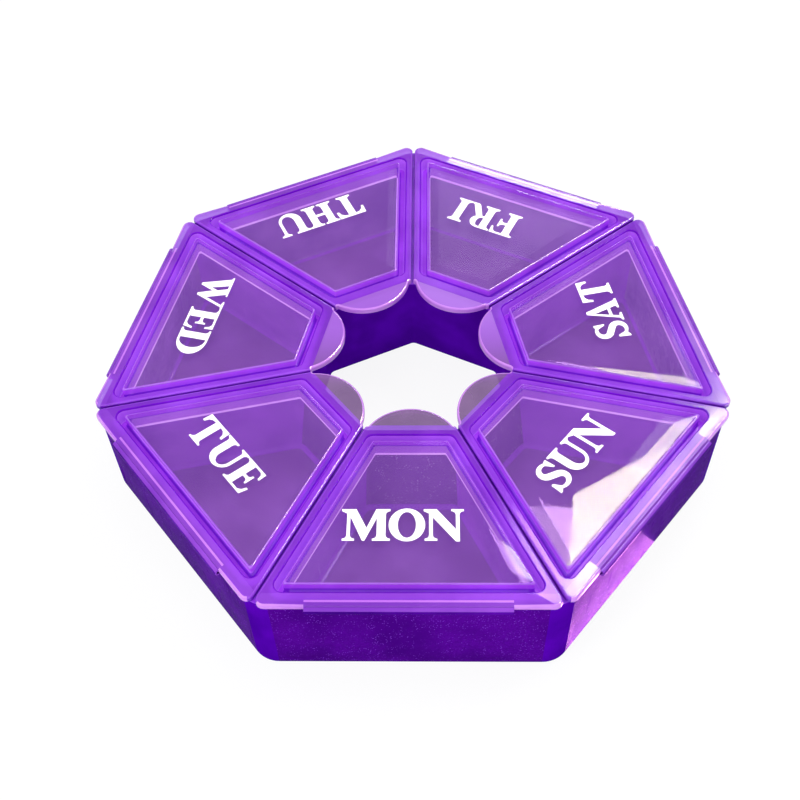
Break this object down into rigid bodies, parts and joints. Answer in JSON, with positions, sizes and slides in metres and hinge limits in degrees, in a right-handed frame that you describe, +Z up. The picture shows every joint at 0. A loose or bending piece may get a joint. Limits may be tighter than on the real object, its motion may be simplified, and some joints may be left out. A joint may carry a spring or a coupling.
{
  "type": "weekly pill organizer",
  "caption": "Ring-shaped weekly pill organizer of translucent plastic: a compartment and a hinged lid with a finger tab for each day, round an open centre.",
  "frame": {"origin": "on the ring's axis, in the plane that the tray stands on", "axes": "+Z up along the ring's axis; -Y square out of the front (MON) side; +X to the right"},
  "size_m": [0.1102, 0.1082, 0.0211],
  "materials": {
    "tray_plastic": "gloss",
    "lid_plastic": "gloss",
    "hinge_plastic": "satin"
  },
  "bodies": {
    "tray": {"tray": "tray_plastic"},
    "lid_mon": {"lid_mon": "lid_plastic", "hinge_mon": "hinge_plastic"},
    "lid_sun": {"lid_sun": "lid_plastic", "hinge_sun": "hinge_plastic"},
    "lid_sat": {"lid_sat": "lid_plastic", "hinge_sat": "hinge_plastic"},
    "lid_fri": {"lid_fri": "lid_plastic", "hinge_fri": "hinge_plastic"},
    "lid_thu": {"lid_thu": "lid_plastic", "hinge_thu": "hinge_plastic"},
    "lid_wed": {"lid_wed": "lid_plastic", "hinge_wed": "hinge_plastic"},
    "lid_tue": {"lid_tue": "lid_plastic", "hinge_tue": "hinge_plastic"}
  },
  "joints": [
    {"name": "lid_mon_hinge", "type": "hinge", "parent": "tray", "child": "lid_mon", "pos_m": [0, -0.05221, 0.0195], "axis": [1, 0, 0], "range_deg": [0, 180], "deforming": ["hinge_mon"]},
    {"name": "lid_sun_hinge", "type": "hinge", "parent": "tray", "child": "lid_sun", "pos_m": [0.04082, -0.03256, 0.0195], "axis": [0.6235, 0.7818, 0], "range_deg": [0, 180], "deforming": ["hinge_sun"]},
    {"name": "lid_sat_hinge", "type": "hinge", "parent": "tray", "child": "lid_sat", "pos_m": [0.0509, 0.01162, 0.0195], "axis": [-0.2225, 0.9749, 0], "range_deg": [0, 180], "deforming": ["hinge_sat"]},
    {"name": "lid_fri_hinge", "type": "hinge", "parent": "tray", "child": "lid_fri", "pos_m": [0.02266, 0.04704, 0.0195], "axis": [-0.901, 0.4339, 0], "range_deg": [0, 180], "deforming": ["hinge_fri"]},
    {"name": "lid_thu_hinge", "type": "hinge", "parent": "tray", "child": "lid_thu", "pos_m": [-0.02266, 0.04704, 0.0195], "axis": [-0.901, -0.4339, 0], "range_deg": [0, 180], "deforming": ["hinge_thu"]},
    {"name": "lid_wed_hinge", "type": "hinge", "parent": "tray", "child": "lid_wed", "pos_m": [-0.0509, 0.01162, 0.0195], "axis": [-0.2225, -0.9749, 0], "range_deg": [0, 180], "deforming": ["hinge_wed"]},
    {"name": "lid_tue_hinge", "type": "hinge", "parent": "tray", "child": "lid_tue", "pos_m": [-0.04082, -0.03256, 0.0195], "axis": [0.6235, -0.7818, 0], "range_deg": [0, 180], "deforming": ["hinge_tue"]}
  ]
}
